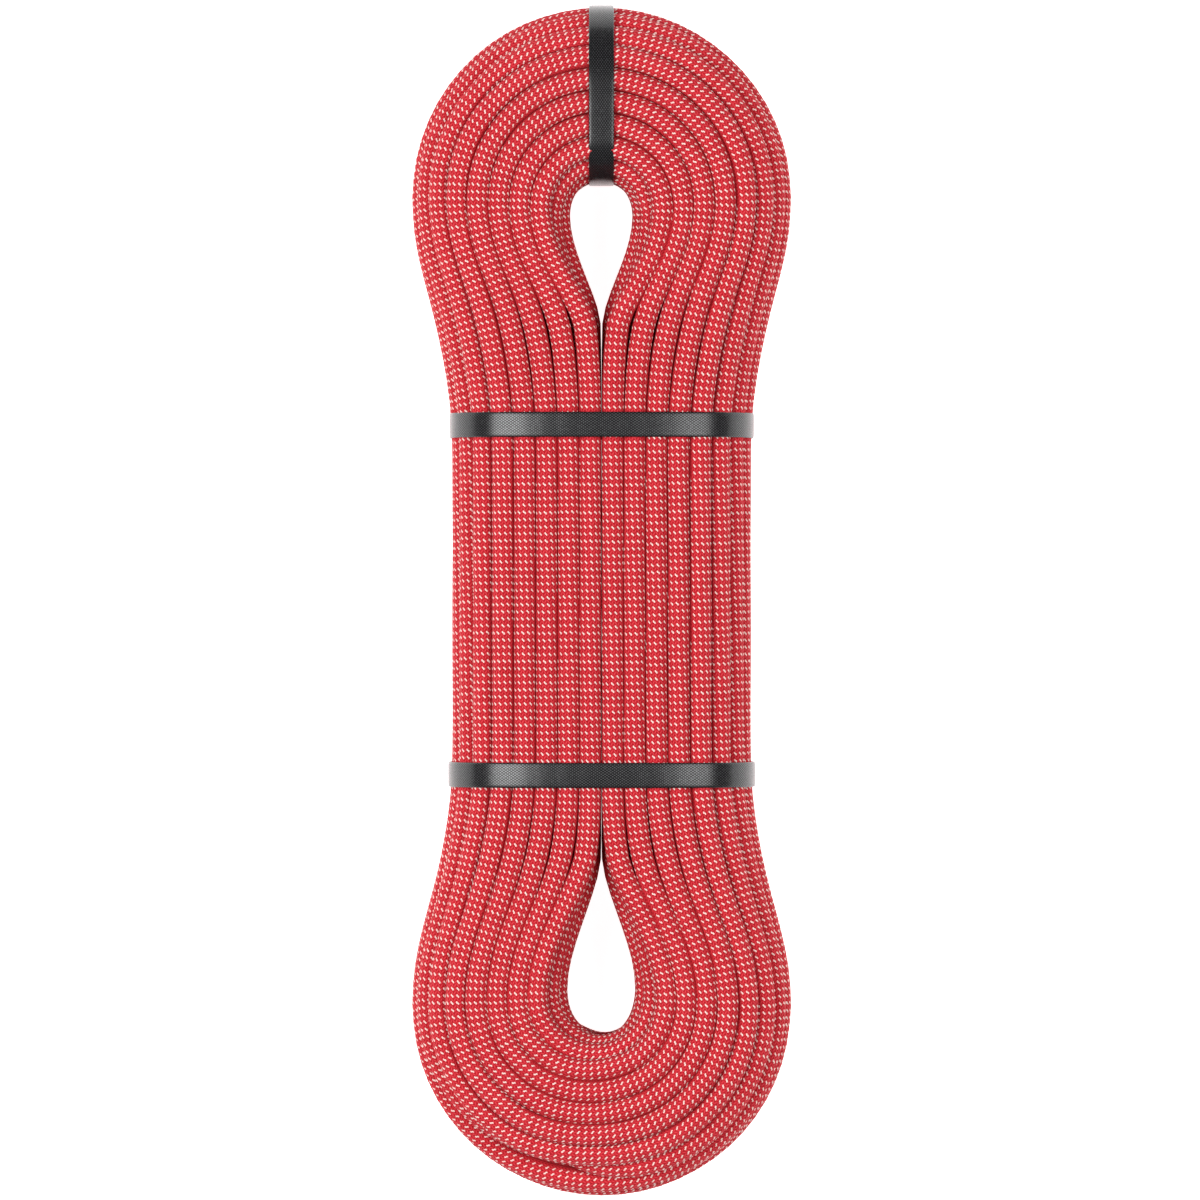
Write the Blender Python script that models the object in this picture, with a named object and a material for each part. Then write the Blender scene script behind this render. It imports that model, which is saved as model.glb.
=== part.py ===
"""Dynamic climbing rope, 9.5 mm by 60 m, wound into a dog-bone hank and bound with three straps.

Metres, +Z up. The hank lies on its back. +Y runs along the hank towards the top strap, +X across it.
The origin is under the middle of the hank, on the surface that it rests on.

The wound rope is a stack of ten flat layers of turns, each as deep as one row of strands. At the back,
both ends of the rope lie in a slot in the first layer: sheath, core strands, marker thread, end sleeve
and melted tip. Two straps hold the waist and can slide along it. The third goes through the upper eye
and can be pushed a little way round the crown.
"""

import math

import bmesh
import bpy

# Rope
ROPE_DIAMETER = 0.0095
GAP = 0.0003                    # left between pieces that touch

# Outline of the hank, seen from the front
LOBE_CENTRE_Y = 0.1707          # both lobes, measured from the middle of the hank
LOBE_RADIUS = 0.0801
WAIST_HALF_WIDTH = 0.0631
FLARE_START_Y = 0.0745          # where the waist begins to widen towards a lobe
EYE_SHAPE = 2.0                 # how far the widest part of an eye lies towards its round end
UPPER_EYE = {"tip": 0.1167, "end": 0.1762, "half_width": 0.0127}
LOWER_EYE = {"tip": 0.1080, "end": 0.1810, "half_width": 0.0141}

# Cross-section of the bundle. Levels are rope diameters from its middle plane.
LAYER_COUNT = 10
LAYER_PITCH = 0.875
OUTER_LEVEL = LAYER_PITCH * (LAYER_COUNT - 1) / 2       # middle of the first and last layer
FACE_LEVEL = OUTER_LEVEL + 0.5                          # front and back faces
SIDE_REACH = WAIST_HALF_WIDTH / ROPE_DIAMETER - 0.5     # outermost strand's centre at the waist
SIDE_HEIGHT = 4.3               # level at which the rounded side would close
SIDE_POWER = 3.2
EYE_ROUNDING = 0.5              # how far the front and back layers draw back from an eye
EYE_POWER = 6
EDGE_CHAMFER = 0.3
LOBE_SWELL = 0.08               # the lobes are this much deeper than the waist
MIDDLE_Z = FACE_LEVEL * (1 + LOBE_SWELL) * ROPE_DIAMETER

# Stations along a quarter of the outline
LEG_STATIONS = 2
FLARE_STATIONS = 3
FLANK_STATIONS = 5
CROWN_STATIONS = 9

# Straps
STRAP_WIDTH = 0.0105
STRAP_THICKNESS = 0.0008
UPPER_STRAP_Y = 0.0741
LOWER_STRAP_Y = -0.0728
WAIST_CLEARANCE = 0.0007
CROWN_CLEARANCE = 0.0008
LAP_LENGTH = 0.022              # where the strap's ends are welded over each other
CROWN_PIVOT_DEPTH = 0.0128       # the eye's round end curves about a point this far inside it
CROWN_PIVOT_Y = UPPER_EYE["end"] - CROWN_PIVOT_DEPTH

# Rope ends
END_X = -2.5 * ROPE_DIAMETER
END_Z = 0.0068
SLOT_HALF_LENGTH = 0.036
TIP_Y = 0.006                   # each tip's distance from the middle of the hank
TIP_LENGTH = 0.0015
TIP_RADIUS = 0.0046
SHEATH_THICKNESS = 0.001
SLEEVE_LENGTH = 0.024
SLEEVE_RADII = (0.0049, 0.0053)
CORE_STRAND_COUNT = 6           # round a seventh, straight one
CORE_STRAND_RADIUS = 0.001
CORE_LAY_RADIUS = 0.00245
CORE_LAY_LENGTH = 0.040         # length of one twist
THREAD_RADIUS = 0.00018

RED = (0.62, 0.022, 0.036)
BLACK = (0.030, 0.031, 0.034)
WHITE = (0.80, 0.78, 0.74)
MELTED_RED = (0.20, 0.010, 0.014)
YELLOW = (0.75, 0.52, 0.04)


def clear_scene():
    for item in list(bpy.data.objects):
        bpy.data.objects.remove(item, do_unlink=True)


def material(name, colour, roughness, metallic=0.0):
    made = bpy.data.materials.new(name)
    made.use_nodes = True
    shader = made.node_tree.nodes["Principled BSDF"]
    shader.inputs["Base Color"].default_value = (*colour, 1.0)
    shader.inputs["Roughness"].default_value = roughness
    shader.inputs["Metallic"].default_value = metallic
    return made


def add_object(name, bm, look, place=(0.0, 0.0, 0.0), smooth_angle=0.6):
    """Make an object from a bmesh whose points are measured from place."""
    bmesh.ops.recalc_face_normals(bm, faces=bm.faces)
    mesh = bpy.data.meshes.new(name)
    bm.to_mesh(mesh)
    bm.free()
    mesh.materials.append(look)
    mesh.shade_smooth()
    mesh.set_sharp_from_angle(angle=smooth_angle)
    made = bpy.data.objects.new(name, mesh)
    made.location = place
    bpy.context.collection.objects.link(made)
    return made


def ease(value):
    value = min(1.0, max(0.0, value))
    return value * value * (3.0 - 2.0 * value)


def blend(start, end, share):
    return tuple(a + (b - a) * share for a, b in zip(start, end))


# The hank's outline: rays from the inner edge of the winding to its outer edge


def outline_half_width(y):
    share = ease((y - FLARE_START_Y) / (LOBE_CENTRE_Y - FLARE_START_Y))
    return WAIST_HALF_WIDTH + (LOBE_RADIUS - WAIST_HALF_WIDTH) * share


def eye_point(eye, turn):
    """A point of the teardrop: turn is 0 at its tip and pi at its round end."""
    half = math.sin(turn / 2)
    peak_cosine = EYE_SHAPE / (EYE_SHAPE + 2)
    peak = math.sqrt(1 - peak_cosine ** 2) * ((1 + peak_cosine) / 2) ** (EYE_SHAPE / 2)
    x = eye["half_width"] / peak * math.sin(turn) * half ** EYE_SHAPE
    return x, eye["tip"] + (eye["end"] - eye["tip"]) * half * half


def quarter_rays(eye, crown_swell):
    """Rays (inner, outer, eye share, swell) from the middle of a leg to the middle of a crown."""
    rays = []
    for step in range(LEG_STATIONS + FLARE_STATIONS):
        if step < LEG_STATIONS:
            y = FLARE_START_Y * step / LEG_STATIONS
        else:
            y = FLARE_START_Y + (eye["tip"] - FLARE_START_Y) * (step - LEG_STATIONS) / FLARE_STATIONS
        swell = ease((y - FLARE_START_Y - STRAP_WIDTH) / 0.035)
        rays.append(((0.0, y), (outline_half_width(y), y), 0.0, swell))
    widest_turn = math.acos(-EYE_SHAPE / (EYE_SHAPE + 2))
    widest_share = math.sin(widest_turn / 2) ** 2
    for step in range(FLANK_STATIONS):
        turn = widest_turn * step / FLANK_STATIONS
        y = eye["tip"] + (LOBE_CENTRE_Y - eye["tip"]) * math.sin(turn / 2) ** 2 / widest_share
        swell = ease((y - FLARE_START_Y - STRAP_WIDTH) / 0.035)
        rays.append((eye_point(eye, turn), (outline_half_width(y), y), math.sin(turn / 2), swell))
    for step in range(CROWN_STATIONS + 1):
        share = step / CROWN_STATIONS
        turn = widest_turn + (math.pi - widest_turn) * share
        angle = math.pi / 2 * share
        outer = (LOBE_RADIUS * math.cos(angle), LOBE_CENTRE_Y + LOBE_RADIUS * math.sin(angle))
        swell = 1 + (crown_swell - 1) * ease((share - 0.35) / 0.4)
        rays.append((eye_point(eye, turn), outer, math.sin(turn / 2), swell))
    return rays


def mirrored(ray, x_sign, y_sign):
    inner, outer, eye_share, swell = ray
    flip = lambda point: (point[0] * x_sign, point[1] * y_sign)
    return flip(inner), flip(outer), eye_share, swell


def closed_rays():
    """Rays all the way round, from the middle of the right leg over the upper crown and back."""
    upper = quarter_rays(UPPER_EYE, crown_swell=0.0)
    lower = quarter_rays(LOWER_EYE, crown_swell=1.0)
    rays = [mirrored(ray, 1, 1) for ray in upper]
    rays += [mirrored(ray, -1, 1) for ray in reversed(upper[1:-1])]
    rays += [mirrored(ray, -1, -1) for ray in lower]
    rays += [mirrored(ray, 1, -1) for ray in reversed(lower[1:-1])]
    return rays


# Layers of turns


def side_inset(level):
    """How far a layer at this level draws back from the widest one, along the outer edge."""
    return SIDE_REACH * ROPE_DIAMETER * (1 - (1 - abs(level / SIDE_HEIGHT) ** SIDE_POWER) ** (1 / SIDE_POWER))


def eye_inset(level):
    """How far a layer at this level draws back from an eye."""
    return EYE_ROUNDING * ROPE_DIAMETER * abs(level / OUTER_LEVEL) ** EYE_POWER


def ring_points(rays, level, outer_inset, inner_inset):
    points = []
    for inner, outer, eye_share, swell in rays:
        width = math.dist(inner, outer)
        z = MIDDLE_Z + level * ROPE_DIAMETER * (1 + LOBE_SWELL * swell)
        near = blend(inner, outer, inner_inset * eye_share / width)
        far = blend(inner, outer, 1 - outer_inset / width)
        points.append(((*near, z), (*far, z)))
    return points


def rope_layer(name, rays, middle, bottom, top, look):
    """A plate with two eyes: its edges are chamfered above and below its middle level."""
    chamfer = EDGE_CHAMFER * ROPE_DIAMETER
    bm = bmesh.new()
    rings = []
    for level, extra in ((bottom, chamfer), (middle, 0.0), (top, chamfer)):
        points = ring_points(rays, level, side_inset(middle) + extra, eye_inset(middle) + extra)
        rings.append([(bm.verts.new(near), bm.verts.new(far)) for near, far in points])
    count = len(rays)
    for index in range(count):
        after = (index + 1) % count
        for ring in (rings[0], rings[-1]):
            bm.faces.new((ring[index][0], ring[index][1], ring[after][1], ring[after][0]))
        for low, high in zip(rings, rings[1:]):
            bm.faces.new((low[index][1], low[after][1], high[after][1], high[index][1]))
            if rays[index][2] or rays[after][2]:
                bm.faces.new((low[index][0], low[after][0], high[after][0], high[index][0]))
    bmesh.ops.remove_doubles(bm, verts=bm.verts, dist=0.000001)
    bmesh.ops.triangulate(bm, faces=bm.faces)
    return add_object(name, bm, look)


def cut_end_slot(layer):
    """The rope's two ends lie in a slot in the back layer."""
    bm = bmesh.new()
    bmesh.ops.create_cube(bm, size=1.0)
    width = ROPE_DIAMETER + 4 * GAP + 2 * (SLEEVE_RADII[1] - ROPE_DIAMETER / 2)
    bmesh.ops.scale(bm, vec=(width, 2 * SLOT_HALF_LENGTH, 4 * ROPE_DIAMETER), verts=bm.verts)
    cutter = add_object("end_slot_cutter", bm, layer.data.materials[0], (END_X, 0.0, END_Z))
    cutter.hide_render = True
    cutter.display_type = "WIRE"
    cut = layer.modifiers.new("end slot", "BOOLEAN")
    cut.object = cutter
    cut.operation = "DIFFERENCE"


def build_layers(look):
    rays = closed_rays()
    gap_levels = GAP / ROPE_DIAMETER / 2
    for index in range(LAYER_COUNT):
        middle = (index - (LAYER_COUNT - 1) / 2) * LAYER_PITCH
        bottom = middle - LAYER_PITCH / 2 + gap_levels if index else -FACE_LEVEL
        top = middle + LAYER_PITCH / 2 - gap_levels if index < LAYER_COUNT - 1 else FACE_LEVEL
        layer = rope_layer(f"rope_layer_{index + 1:02d}", rays, middle, bottom, top, look)
        if index == 0:
            cut_end_slot(layer)


# Straps


def convex_hull(points):
    """Andrew's monotone chain, anticlockwise."""
    def chain(ordered):
        kept = []
        for point in ordered:
            while len(kept) > 1 and turn_of(kept[-2], kept[-1], point) <= 0:
                kept.pop()
            kept.append(point)
        return kept[:-1]
    ordered = sorted(points)
    return chain(ordered) + chain(ordered[::-1])


def turn_of(first, second, third):
    return ((second[0] - first[0]) * (third[1] - first[1])
            - (second[1] - first[1]) * (third[0] - first[0]))


def taut_path(centres, radius):
    """Points of a band pulled tight round strands with these centres, as (point, outward normal)."""
    hull = convex_hull(centres)
    path = []
    for before, corner, after in zip(hull[-1:] + hull[:-1], hull, hull[1:] + hull[:1]):
        start = math.atan2(before[0] - corner[0], corner[1] - before[1])
        turn = math.atan2(corner[0] - after[0], after[1] - corner[1]) - start
        turn = (turn + math.pi) % (2 * math.pi) - math.pi
        steps = max(1, round(abs(turn) / 0.35))
        for step in range(steps + 1):
            angle = start + turn * step / steps
            normal = (math.cos(angle), math.sin(angle))
            path.append(((corner[0] + radius * normal[0], corner[1] + radius * normal[1]), normal))
    return path


def with_lap(path, back_z):
    """Give each path point a thickness: double over the weld, which is in the middle of the back."""
    lengths = []
    for point, normal in path:
        on_back = abs(point[1] - back_z) < 0.00001
        lengths.append((point, normal, 1.0 if not on_back else None))
    stations = []
    for (point, normal, plain), (following, _, plain_after) in zip(lengths, lengths[1:] + lengths[:1]):
        stations.append((point, normal, 1.0))
        if plain is None and plain_after is None and math.dist(point, following) > LAP_LENGTH:
            middle = (point[0] + following[0]) / 2
            step = 0.00005
            for offset, layers in ((-LAP_LENGTH / 2, 1.0), (step - LAP_LENGTH / 2, 2.0),
                                   (LAP_LENGTH / 2 - step, 2.0), (LAP_LENGTH / 2, 1.0)):
                stations.append(((middle + offset, back_z), normal, layers))
    return stations


def strap(name, stations, to_space, place, look):
    """A flat strap along the stations. to_space turns (along section, z, across) into X, Y, Z."""
    bm = bmesh.new()
    rings = []
    for point, normal, layers in stations:
        reach = STRAP_THICKNESS * layers
        outside = (point[0] + normal[0] * reach, point[1] + normal[1] * reach)
        corners = ((point, -1), (point, 1), (outside, 1), (outside, -1))
        rings.append([bm.verts.new(to_space(*spot, side * STRAP_WIDTH / 2)) for spot, side in corners])
    for ring, after in zip(rings, rings[1:] + rings[:1]):
        for side in range(4):
            following = (side + 1) % 4
            bm.faces.new((ring[side], ring[following], after[following], after[side]))
    bmesh.ops.remove_doubles(bm, verts=bm.verts, dist=0.000001)
    return add_object(name, bm, look, place)


def layer_levels():
    return [(index - (LAYER_COUNT - 1) / 2) * LAYER_PITCH for index in range(LAYER_COUNT)]


def build_straps(look):
    radius = ROPE_DIAMETER / 2 + WAIST_CLEARANCE
    centres = []
    for level in layer_levels():
        reach = SIDE_REACH * ROPE_DIAMETER - side_inset(level)
        centres += [(reach, level * ROPE_DIAMETER), (-reach, level * ROPE_DIAMETER)]
    back = -OUTER_LEVEL * ROPE_DIAMETER - radius
    stations = with_lap(taut_path(centres, radius), back)
    across_waist = lambda x, z, across: (x, across, z)
    strap("upper_waist_strap", stations, across_waist, (0.0, UPPER_STRAP_Y, MIDDLE_Z), look)
    strap("lower_waist_strap", stations, across_waist, (0.0, LOWER_STRAP_Y, MIDDLE_Z), look)

    radius = ROPE_DIAMETER / 2 + CROWN_CLEARANCE
    outside = LOBE_CENTRE_Y + LOBE_RADIUS - ROPE_DIAMETER / 2 - CROWN_PIVOT_Y
    centres = []
    for level in layer_levels():
        eye_radius = CROWN_PIVOT_DEPTH + eye_inset(level)
        strap_chord = math.sqrt(eye_radius ** 2 - (STRAP_WIDTH / 2) ** 2)
        centres += [(strap_chord + ROPE_DIAMETER / 2, level * ROPE_DIAMETER),
                    (outside - side_inset(level), level * ROPE_DIAMETER)]
    back = -OUTER_LEVEL * ROPE_DIAMETER - radius
    stations = with_lap(taut_path(centres, radius), back)
    round_crown = lambda y, z, across: (across, y, z)
    strap("crown_strap", stations, round_crown, (0.0, CROWN_PIVOT_Y, MIDDLE_Z), look)


# Rope ends. Each is built along +Y from its tip, then turned to face the other.


def tube(name, radii, start, length, sides, look, direction):
    """A straight tube, or a rod when the inner radius is 0."""
    inner, outer = radii
    bm = bmesh.new()
    loops = []
    for radius in (inner, outer) if inner else (outer,):
        for along in (start, start + length):
            angles = [2 * math.pi * (side + 0.5) / sides for side in range(sides)]
            loops.append([bm.verts.new((radius * math.cos(a), along * direction, radius * math.sin(a)))
                          for a in angles])
    pairs = [(0, 1), (2, 3), (0, 2), (1, 3)] if inner else [(0, 1)]
    for first, second in pairs:
        for side in range(sides):
            after = (side + 1) % sides
            bm.faces.new((loops[first][side], loops[first][after], loops[second][after], loops[second][side]))
    if not inner:
        bm.faces.new(loops[0])
        bm.faces.new(loops[1])
    return add_object(name, bm, look, (END_X, 0.0, END_Z))


def twisted_strand(name, radius, lay_radius, phase, start, length, sides, look, direction):
    """A strand that winds round the rope's axis."""
    steps = 10 if lay_radius else 1
    bm = bmesh.new()
    rings = []
    for step in range(steps + 1):
        along = start + length * step / steps
        angle = phase + 2 * math.pi * along / CORE_LAY_LENGTH
        centre = (lay_radius * math.cos(angle), lay_radius * math.sin(angle))
        ring = []
        for side in range(sides):
            turn = 2 * math.pi * side / sides
            ring.append(bm.verts.new((centre[0] + radius * math.cos(turn), along * direction,
                                      centre[1] + radius * math.sin(turn))))
        rings.append(ring)
    for ring, after in zip(rings, rings[1:]):
        for side in range(sides):
            following = (side + 1) % sides
            bm.faces.new((ring[side], ring[following], after[following], after[side]))
    bm.faces.new(rings[0])
    bm.faces.new(rings[-1])
    bmesh.ops.triangulate(bm, faces=bm.faces)
    return add_object(name, bm, look, (END_X, 0.0, END_Z))


def build_rope_end(prefix, direction, looks):
    inside_start = TIP_Y + TIP_LENGTH + GAP
    end = SLOT_HALF_LENGTH - GAP
    length = end - inside_start
    outer = ROPE_DIAMETER / 2
    tube(f"{prefix}_sheath", (outer - SHEATH_THICKNESS, outer), inside_start, length, 16,
         looks["sheath"], direction)
    tube(f"{prefix}_sleeve", SLEEVE_RADII, TIP_Y, SLEEVE_LENGTH, 16, looks["sleeve"], direction)
    tube(f"{prefix}_melted_tip", (0.0, TIP_RADIUS), TIP_Y, TIP_LENGTH, 16, looks["tip"], direction)
    twisted_strand(f"{prefix}_core_strand_1", CORE_STRAND_RADIUS, 0.0, 0.0, inside_start, length, 6,
                   looks["core"], direction)
    for index in range(CORE_STRAND_COUNT):
        phase = 2 * math.pi * index / CORE_STRAND_COUNT
        twisted_strand(f"{prefix}_core_strand_{index + 2}", CORE_STRAND_RADIUS, CORE_LAY_RADIUS, phase,
                       inside_start, length, 6, looks["core"], direction)
    nook = CORE_LAY_RADIUS / math.sqrt(3)       # between the middle strand and two of its neighbours
    twisted_strand(f"{prefix}_marker_thread", THREAD_RADIUS, nook, math.pi / CORE_STRAND_COUNT,
                   inside_start, length, 4, looks["thread"], direction)


def main():
    clear_scene()
    rope_red = material("sheath red", RED, 0.75)
    strap_black = material("strap black", BLACK, 0.42)
    build_layers(rope_red)
    build_straps(strap_black)
    looks = {
        "sheath": rope_red,
        "sleeve": material("sleeve black", BLACK, 0.35),
        "tip": material("melted red", MELTED_RED, 0.3),
        "core": material("core white", WHITE, 0.7),
        "thread": material("marker yellow", YELLOW, 0.6),
    }
    build_rope_end("first_end", 1, looks)
    build_rope_end("last_end", -1, looks)


main()
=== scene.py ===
"""Looks of the climbing rope hank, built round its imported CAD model.

Metres, +Z up, in the CAD model's frame: the hank lies on its back, +Y runs towards the crown strap.
One rope, about 60 m long, is wound in 62 turns. Each turn goes round both eyes of the hank, and steps
over to the next place in the bundle on the way round the lower one. The turns settle against each other
and against the hank's outline before the rope, the cream flecks of its sheath and the straps are made
from them.
"""

import math

import bpy
import numpy as np
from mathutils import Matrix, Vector
from mathutils.bvhtree import BVHTree


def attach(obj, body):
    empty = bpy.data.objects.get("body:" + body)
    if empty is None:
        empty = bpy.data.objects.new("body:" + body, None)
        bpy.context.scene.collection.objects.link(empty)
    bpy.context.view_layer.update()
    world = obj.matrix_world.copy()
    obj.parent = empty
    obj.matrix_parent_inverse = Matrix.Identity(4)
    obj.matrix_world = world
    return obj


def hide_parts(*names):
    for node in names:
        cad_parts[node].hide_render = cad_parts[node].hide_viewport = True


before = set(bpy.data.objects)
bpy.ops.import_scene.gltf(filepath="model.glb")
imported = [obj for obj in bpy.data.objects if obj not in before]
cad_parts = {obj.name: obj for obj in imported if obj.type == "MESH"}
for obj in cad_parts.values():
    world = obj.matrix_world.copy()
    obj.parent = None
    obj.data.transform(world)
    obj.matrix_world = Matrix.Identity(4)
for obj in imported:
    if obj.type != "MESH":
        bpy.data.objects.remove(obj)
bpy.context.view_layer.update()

# Rope and outline, as in the CAD model
ROPE_DIAMETER = 0.0095
LOBE_CENTRE_Y = 0.1707
LOBE_RADIUS = 0.0801
WAIST_HALF_WIDTH = 0.0631
FLARE_START_Y = 0.0745
EYE_SHAPE = 2.0                 # how sharply the teardrop of an eye narrows towards its tip
UPPER_EYE = {"tip": 0.1167, "end": 0.1762, "half_width": 0.0127}
LOWER_EYE = {"tip": 0.1080, "end": 0.1810, "half_width": 0.0141}
LAYER_PITCH = 0.875             # from layer to layer, in diameters
LAYER_COUNT = 10
OUTER_LEVEL = LAYER_PITCH * (LAYER_COUNT - 1) / 2
SIDE_REACH = WAIST_HALF_WIDTH / ROPE_DIAMETER - 0.5
SIDE_HEIGHT = 4.3               # the sides are rounded as a superellipse
SIDE_POWER = 3.2
SURFACE_LEVEL = 0.45            # how far out in that superellipse strands begin to be outer ones
SURFACE_DEPTH = 0.25
EYE_ROUNDING = 1.0              # how far the rims of the eyes draw back, in diameters
EYE_POWER = 6
LOBE_SWELL = 0.08
WAIST_SWELL = 0.045             # the strands bulge beyond the plain layers of the CAD model
SWELL_START = 0.0105            # past the start of the flare
SWELL_LENGTH = 0.035
CROWN_SWELL_START = 0.35        # shares of the way from the side of the crown to its middle
CROWN_SWELL_LENGTH = 0.4
CROWNING = 0.12                 # the front and back fall away a little towards the sides
MIDDLE_Z = (OUTER_LEVEL + 0.5) * (1 + LOBE_SWELL) * ROPE_DIAMETER

# Rope ends, as in the CAD model
END_X = -2.5 * ROPE_DIAMETER
END_Z = 0.0068
TIP_Y = 0.006

# Stations along a quarter of the outline
LEG_STATIONS = 6
NECK_STATIONS = 4
FLANK_STATIONS = 8
CROWN_STATIONS = 15

# Places of the strands in a leg: how many in each row, from the back to the front
ROW_STRANDS = (5, 6, 7, 6, 7, 7, 7, 6, 6, 5)
INNER_COLUMNS = 3               # beside the eyes
FACE_ROW_INSET = 0.75           # the front and back rows reach a little way down the rounded sides
SPACING_INSIDE = 0.9            # aimed at inside the bundle, where strands press into each other
SPACING_OUTSIDE = 1.03          # aimed at on its surface, where they lie side by side
SETTLING_ROUNDS = 240
SMOOTHING = 0.5                 # share of the way to the mean of its neighbours that a station goes
PUSH = 0.4                      # share of an overlap by which each of its strands gives way in a round
PULL = 0.012                    # share of the way back to its place that a strand goes in a round
WANDER = 0.2                    # how far a strand strays from its place, in diameters
WANDER_UP_SHARE = 0.4           # share of it that a strand strays up or down
WANDER_PER_TURN = 6
WANDER_SEED = 11
FACE_PULL = 0.005               # presses strands out between those of the front and back rows
NECK_REACH = 5                  # stations on either side of an eye's tip over which strands are rounded
NECK_FULL_AT = 4                # diameters from the inner edge at which strands are rounded fully
NECK_ROUNDS = 8

# Braid of the sheath: a cream fleck wherever one of the columns meets a row
FLECK_COLUMNS = 12              # round the rope
FLECK_ROW_LENGTH = 0.00297
COLUMN_DRIFT = -7.5             # how the columns turn about the rope, radians per metre
FLECK_LENGTH = 0.0021
FLECK_WIDTH = 0.00125
FLECK_HEIGHT = 0.00012
FLECK_SINK = 0.00003
FLECK_TILT = 37.0               # from the rope's direction, in degrees
FLECK_RIM_POINTS = 8
FLECK_RIDGE = 0.45              # share of its length that a fleck's ridge takes
FLECK_PIECES = 3
FIRST_FLECK_ROW = 7             # the rows nearest each tip are under the sleeve
VIEW_START = 0.0003             # where the rays that look for a free view start, above the sheath
VIEW_TILT = 40.0

# Straps
STRAP_WIDTH = 0.0105
STRAP_THICKNESS = 0.0008
STRAP_CLEARANCE = 0.0003        # from the strands, before a strap's bends are evened
STRAP_SIDES = 16
STRAP_EDGE_POWERS = (0.3, 0.7)  # a flat section with rounded edges: across the strap and through it
STRAP_STEP = 0.0012
STRAP_TURN_STEP = 0.1           # radians from point to point where it bends round a strand
STRAP_EVENING = 6               # stations on either side over which its bends are evened
STRAP_DIP = 0.0001              # how far a strap sinks between two strands
STRAP_DIP_SHARE = 0.3           # of the gap below it
STRAP_DIP_EVENING = 2
BACK_FLATNESS = 0.0001          # how far from the lowest point the back of a strap counts as flat
STRAP_DIAMOND = (0.0016, 0.0011)    # pressed pattern: length along the strap and width across it
LAP_LENGTH = 0.022
LAP_RISE = 0.003
LAP_LIFT = 1.02                 # of the end that lies on top, in thicknesses
UPPER_STRAP_Y = 0.0741
LOWER_STRAP_Y = -0.0728
STRAP_SLIDE = 0.03
CROWN_PIVOT_DEPTH = 0.0128      # from the round end of the upper eye to the point it curves about
CROWN_PIVOT_Y = UPPER_EYE["end"] - CROWN_PIVOT_DEPTH
CROWN_SWING = math.radians(10.0)

# Sleeves and tips on the rope's ends
SLEEVE_LENGTH = 0.024
SLEEVE_WALL = 0.0004
SLEEVE_SLACK = 0.00003          # between the sheath and the sleeve
SLEEVE_SKIN_START = 0.0012
SLEEVE_SKIN_END = 0.0025        # from the sleeve's far end
SLEEVE_TAPER = 0.001
SLEEVE_RINGS = 40
SLEEVE_CREASE_PITCH = 0.0071
SLEEVE_CREASE_DEPTH = 0.00006
SLEEVE_WEAVE_HEIGHT = 0.00004   # of the braid that shows through it
TIP_LENGTH = 0.0015
TIP_RADIUS = 0.0046
TIP_DOME_START = 0.0006
TIP_DOME_HEIGHT = 0.0012
TIP_DOME_RINGS = 14
TIP_LUMP_HEIGHT = 0.00008
END_SIDES = 48
END_POINTS = 5
CORE_STRANDS = 7

# Colours, linear
# The sheath's darkest colour is painted shade for the grooves of its braid, and its lightest is a
# painted highlight for the crowns of its yarns.
SHEATH_RED = (0.53, 0.015, 0.025)
SHEATH_PAINTED_HIGHLIGHT = (0.66, 0.050, 0.064)
SHEATH_PAINTED_SHADE = (0.10, 0.001, 0.002)
CREAM = (0.84, 0.61, 0.56)
# The strap's darkest colour is painted shade for its pressed lines, and its lightest is a painted
# highlight for the raised diamonds.
STRAP_BLACK = (0.005, 0.005, 0.006)
STRAP_PAINTED_HIGHLIGHT = (0.040, 0.040, 0.043)
STRAP_PAINTED_SHADE = (0.002, 0.002, 0.002)
SLEEVE_BLACK = (0.012, 0.012, 0.013)
SLEEVE_WORN = (0.040, 0.040, 0.042)
MELTED_RED = (0.22, 0.010, 0.014)
MELTED_DARK = (0.07, 0.004, 0.005)
CORE_WHITE = (0.80, 0.78, 0.74)
CORE_SHADE = (0.52, 0.50, 0.46)
THREAD_YELLOW = (0.75, 0.52, 0.04)
THREAD_SHADE = (0.45, 0.28, 0.02)

# Stage, as tuned against the photo: both lights face the hank
LEFT_LIGHT = {"place": (-1.5, 0.1, 2.3), "size": (1.4, 2.2), "power": 78}
RIGHT_LIGHT = {"place": (1.5, 0.1, 2.3), "size": (1.4, 2.2), "power": 48}
WORLD_LIGHT = 0.1
FLOOR_SIZE = 60.0
FLOOR_Z = -0.0002
FLOOR_GLOW = 0.95               # makes the floor render pure white
CAMERA_PLACE = (-0.0006, 0.0006, MIDDLE_Z + 5.0)
CAMERA_LENS = 355.4


def ease(value):
    value = np.clip(value, 0.0, 1.0)
    return value * value * (3.0 - 2.0 * value)


def normalised(vectors):
    return vectors / np.linalg.norm(vectors, axis=-1, keepdims=True)


# The hank's outline: a ray at each station, from the inner edge of the winding to its outer edge


def outline_half_width(y):
    share = ease((y - FLARE_START_Y) / (LOBE_CENTRE_Y - FLARE_START_Y))
    return WAIST_HALF_WIDTH + (LOBE_RADIUS - WAIST_HALF_WIDTH) * share


def eye_points(eye, turn):
    """Points of the teardrop: turn is 0 at its tip and pi at its round end."""
    half = np.sin(turn / 2)
    peak_cosine = EYE_SHAPE / (EYE_SHAPE + 2)
    peak = math.sqrt(1 - peak_cosine ** 2) * ((1 + peak_cosine) / 2) ** (EYE_SHAPE / 2)
    x = eye["half_width"] / peak * np.sin(turn) * half ** EYE_SHAPE
    return np.stack([x, eye["tip"] + (eye["end"] - eye["tip"]) * half * half], axis=1)


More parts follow.
